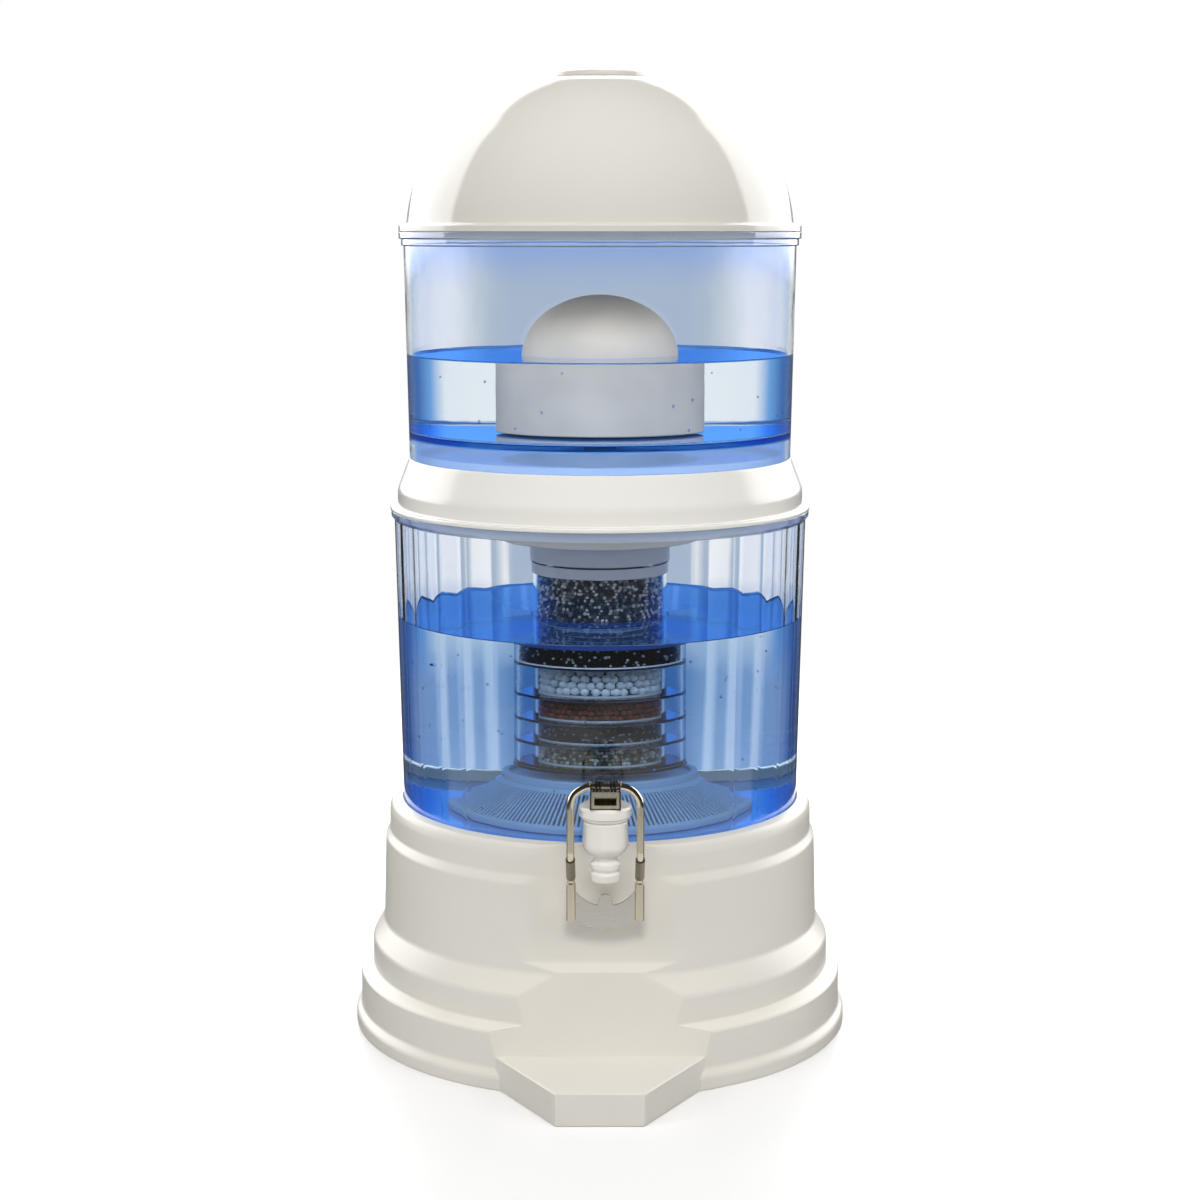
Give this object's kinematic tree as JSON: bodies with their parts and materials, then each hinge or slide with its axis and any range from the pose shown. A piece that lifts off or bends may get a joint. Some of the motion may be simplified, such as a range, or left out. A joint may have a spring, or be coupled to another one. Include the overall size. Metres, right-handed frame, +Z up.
{
  "type": "gravity water filter dispenser",
  "caption": "Stacked gravity water filter: dome lid, clear upper tank with ceramic dome, media cartridge, clear lower tank on a stepped stand, push-lever tap.",
  "frame": {"origin": "centre of the footprint's bounding box on the surface that the stand rests on", "axes": "+Z up along the tanks' axis, -Y towards the tap and the foot, +X to the right when facing the tap"},
  "size_m": [0.3098, 0.352, 0.586],
  "materials": {
    "white_plastic": "glossy moulded polypropylene",
    "blue_clear": "clear blue-tinted moulded AS plastic",
    "case_clear": "translucent pale blue moulded plastic",
    "clear_plastic": "clear moulded plastic",
    "grey_plastic": "satin moulded plastic",
    "navy_plastic": "dark blue moulded plastic",
    "filter_white": "satin moulded plastic",
    "ceramic": "fired white ceramic, fine-grained and matt",
    "carbon": "activated carbon granules",
    "white_balls": "white mineral balls",
    "red_balls": "red-brown clay balls",
    "grey_sand": "dark grey mineral granules",
    "mixed_sand": "mixed pale and dark mineral sand",
    "fibre": "white fibre screen",
    "stone": "mineral stones",
    "tap_plastic": "glossy moulded plastic",
    "lever_steel": "warm nickel-plated steel",
    "plate_steel": "pressed satin steel",
    "stem_steel": "drawn stainless steel",
    "rubber": "moulded rubber",
    "silicone": "translucent silicone"
  },
  "bodies": {
    "stand": {"stand": "white_plastic"},
    "lower_tank": {"lower_tank": "blue_clear", "mineral_case": "case_clear", "mineral_case_lid": "case_clear", "mineral_stones": "stone", "tap_body": "tap_plastic", "tap_bonnet": "tap_plastic", "tap_outer_washer": "rubber", "tap_inner_washer": "rubber", "tap_nut": "tap_plastic", "lever_bracket": "lever_steel", "valve_spring": "stem_steel"},
    "middle_lid": {"middle_lid": "white_plastic"},
    "upper_tank": {"upper_tank": "blue_clear", "ceramic_dome": "ceramic", "ceramic_base": "filter_white", "ceramic_seal": "silicone", "stem_washer": "silicone", "stem_nut": "filter_white", "cartridge_cap": "grey_plastic", "cap_seal": "silicone", "cartridge_ring": "grey_plastic", "carbon_canister": "clear_plastic", "carbon_bed": "carbon", "joining_ring": "navy_plastic", "tray_1": "clear_plastic", "tray_2": "clear_plastic", "tray_3": "clear_plastic", "tray_4": "clear_plastic", "tray_5": "clear_plastic", "bed_1": "carbon", "bed_2": "white_balls", "bed_3": "red_balls", "bed_4": "grey_sand", "bed_5": "mixed_sand", "filter_screens": "fibre", "cartridge_outlet": "clear_plastic"},
    "lid": {"lid_dome": "white_plastic", "vent_cap": "white_plastic"},
    "lever": {"lever_frame": "lever_steel", "lever_sleeves": "lever_steel", "lever_plate": "plate_steel", "lever_spring": "lever_steel"},
    "valve": {"valve_stem": "stem_steel", "valve_seal": "silicone"}
  },
  "joints": [
    {"name": "tank_lift", "type": "slide", "parent": "stand", "child": "lower_tank", "axis": [0, 0, 1], "range_m": [0, 0.05]},
    {"name": "middle_lid_lift", "type": "slide", "parent": "lower_tank", "child": "middle_lid", "axis": [0, 0, 1], "range_m": [0, 0.16]},
    {"name": "upper_tank_lift", "type": "slide", "parent": "middle_lid", "child": "upper_tank", "axis": [0, 0, 1], "range_m": [0, 0.2]},
    {"name": "lid_lift", "type": "slide", "parent": "upper_tank", "child": "lid", "axis": [0, 0, 1], "range_m": [0, 0.15]},
    {"name": "lever_push", "type": "hinge", "parent": "lower_tank", "child": "lever", "pos_m": [0.003, -0.14695, 0.1874], "axis": [1, 0, 0], "range_deg": [0, 8], "stiffness_Nm_per_rad": 0.15, "springref_deg": -20.05},
    {"name": "valve_lift", "type": "slide", "parent": "lower_tank", "child": "valve", "axis": [0, 0, 1], "range_m": [0, 0.0012], "deforming": ["valve_spring"]}
  ],
  "couplings": [
    {"joint": "valve_lift", "follows": "lever_push", "m_per_rad": 0.008}
  ]
}
